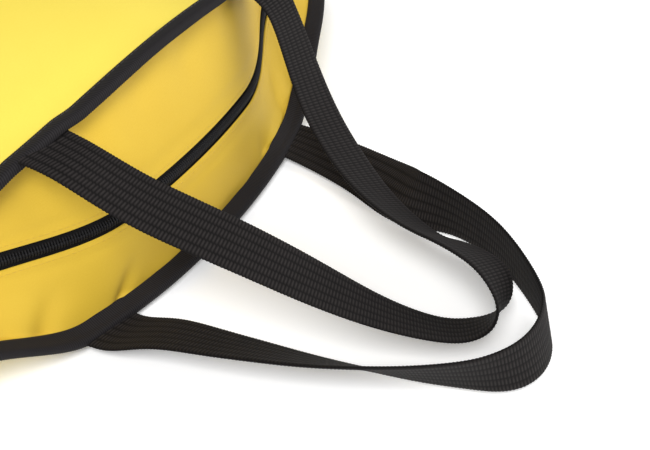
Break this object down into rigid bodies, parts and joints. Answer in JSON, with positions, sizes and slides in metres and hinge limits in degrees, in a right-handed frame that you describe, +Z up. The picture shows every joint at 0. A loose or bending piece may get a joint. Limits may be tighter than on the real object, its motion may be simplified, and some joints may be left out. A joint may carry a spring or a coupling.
{
  "type": "cooler bag",
  "caption": "Soft insulated cooler bag lying on its back: padded fabric halves with bound seams, a zip round the top and sides, a fold at the base and webbing carry handles.",
  "frame": {"origin": "middle of the flat patch of the rear panel that the bag lies on", "axes": "+X across the bag, +Y from the base to the handles, +Z up through the front panel"},
  "size_m": [0.4684, 0.5123, 0.121],
  "materials": {
    "shell_fabric": "yellow coated woven fabric, slight sheen",
    "foam": "white closed-cell foam",
    "lining": "silver-grey film lining",
    "binding_tape": "black ribbed grosgrain",
    "webbing": "black woven webbing",
    "zip_black": "black zip tape and coil",
    "zip_metal": "black painted die casting"
  },
  "bodies": {
    "base": {"rear_panel": "shell_fabric", "rear_panel_foam": "foam", "rear_panel_lining": "lining", "rear_gusset": "shell_fabric", "rear_gusset_foam": "foam", "rear_gusset_lining": "lining", "rear_binding": "binding_tape", "rear_zip_tape": "zip_black", "rear_zip_coil": "zip_black", "base_hinge_strip": "shell_fabric", "rear_handle_end_left": "webbing", "rear_handle_end_right": "webbing"},
    "lid": {"front_panel": "shell_fabric", "front_panel_foam": "foam", "front_panel_lining": "lining", "front_gusset": "shell_fabric", "front_gusset_foam": "foam", "front_gusset_lining": "lining", "front_binding": "binding_tape", "front_zip_tape": "zip_black", "front_zip_coil": "zip_black", "front_handle_end_left": "webbing", "front_handle_end_right": "webbing"},
    "front_handle": {"front_handle": "webbing"},
    "rear_handle": {"rear_handle": "webbing"},
    "zip_slider": {"zip_slider": "zip_metal"},
    "zip_pull": {"zip_pull": "zip_metal"}
  },
  "joints": [
    {"name": "lid_fold", "type": "hinge", "parent": "base", "child": "lid", "pos_m": [0, -0.16822, 0.0485], "axis": [1, 0, 0], "range_deg": [0, 150]},
    {"name": "front_handle_swing", "type": "hinge", "parent": "lid", "child": "front_handle", "pos_m": [0, 0.13798, 0.09978], "axis": [1, 0, 0], "range_deg": [0, 120]},
    {"name": "rear_handle_swing", "type": "hinge", "parent": "base", "child": "rear_handle", "pos_m": [0, 0.16286, 0.00502], "axis": [1, 0, 0], "range_deg": [-110, 0]},
    {"name": "zip_slide", "type": "slide", "parent": "base", "child": "zip_slider", "axis": [0, 1, 0], "range_m": [0, 0.095]},
    {"name": "pull_swing", "type": "hinge", "parent": "zip_slider", "child": "zip_pull", "pos_m": [0.23232, -0.09867, 0.04859], "axis": [0.0231, 0.0182, -0.9996], "range_deg": [0, 170]}
  ]
}
